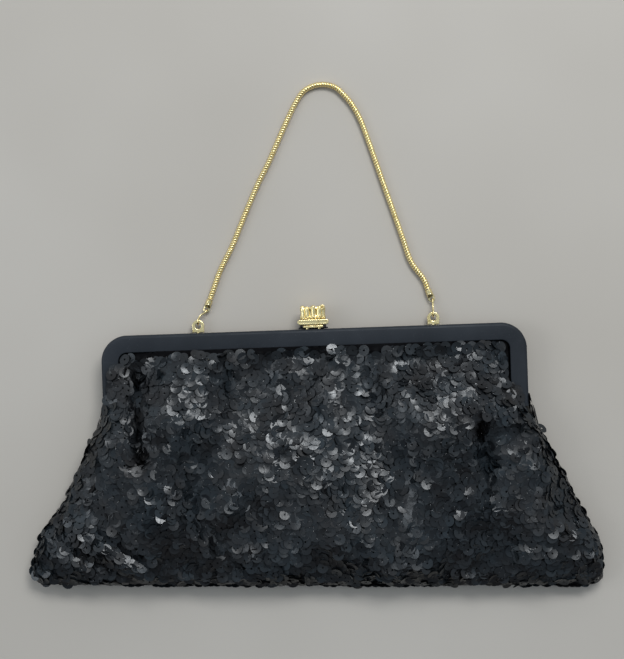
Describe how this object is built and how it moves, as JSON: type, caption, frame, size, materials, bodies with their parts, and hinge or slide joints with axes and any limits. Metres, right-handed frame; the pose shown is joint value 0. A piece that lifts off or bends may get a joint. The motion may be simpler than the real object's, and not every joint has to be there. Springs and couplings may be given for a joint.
{
  "type": "evening bag",
  "caption": "Black sequinned evening bag with a hinged clip frame, sprung clasp and gold snake-chain handle, lying on its back.",
  "frame": {"origin": "on the surface that the bag lies on, under the middle of the bag without its handle", "axes": "+Z out of the bag's front face, +Y from the pouch to the frame's top bar, +X to the right"},
  "size_m": [0.306, 0.2733, 0.022],
  "materials": {
    "frame_enamel": "matte black enamel on pressed metal",
    "sequin_fabric": "black fabric covered with overlapping satin cup sequins",
    "lining_fabric": "black satin lining",
    "paper_cord": "twisted kraft paper",
    "hinge_steel": "plain steel",
    "gold_metal": "pale gold plated, polished"
  },
  "bodies": {
    "rear_half": {"rear_frame": "frame_enamel", "rear_paper_cord": "paper_cord", "hinge_leaf_rear_left": "hinge_steel", "hinge_leaf_rear_right": "hinge_steel", "hinge_rivet_left": "hinge_steel", "hinge_rivet_right": "hinge_steel", "back_panel": "sequin_fabric", "front_panel_lower": "sequin_fabric", "lining_back": "lining_fabric", "lining_front_lower": "lining_fabric", "slip_pocket": "lining_fabric", "lug_left": "gold_metal", "lug_right": "gold_metal", "clasp_base": "frame_enamel", "clasp_rivet_left": "frame_enamel", "clasp_rivet_right": "frame_enamel", "clasp_pin": "hinge_steel", "clasp_spring": "hinge_steel"},
    "front_half": {"front_frame": "frame_enamel", "front_paper_cord": "paper_cord", "hinge_leaf_front_left": "hinge_steel", "hinge_leaf_front_right": "hinge_steel", "front_panel_upper": "sequin_fabric", "lining_front_upper": "lining_fabric", "clasp_catch": "gold_metal"},
    "clasp_lever": {"clasp_plate": "gold_metal", "clasp_ornament": "gold_metal"},
    "handle": {"snake_chain": "gold_metal", "chain_cap_left": "gold_metal", "chain_cap_right": "gold_metal", "link_left": "gold_metal", "link_right": "gold_metal"}
  },
  "joints": [
    {"name": "frame_hinge", "type": "hinge", "parent": "rear_half", "child": "front_half", "pos_m": [0, 0.0135, 0.007], "axis": [1, 0, 0], "range_deg": [0, 60]},
    {"name": "clasp_pivot", "type": "hinge", "parent": "rear_half", "child": "clasp_lever", "pos_m": [0, 0.0667, 0.0036], "axis": [-1, 0, 0], "range_deg": [0, 40], "stiffness_Nm_per_rad": 0.02, "springref_deg": -20.05},
    {"name": "handle_swing", "type": "hinge", "parent": "rear_half", "child": "handle", "pos_m": [0, 0.06928, 0.0036], "axis": [1, 0, 0], "range_deg": [0, 110]}
  ]
}
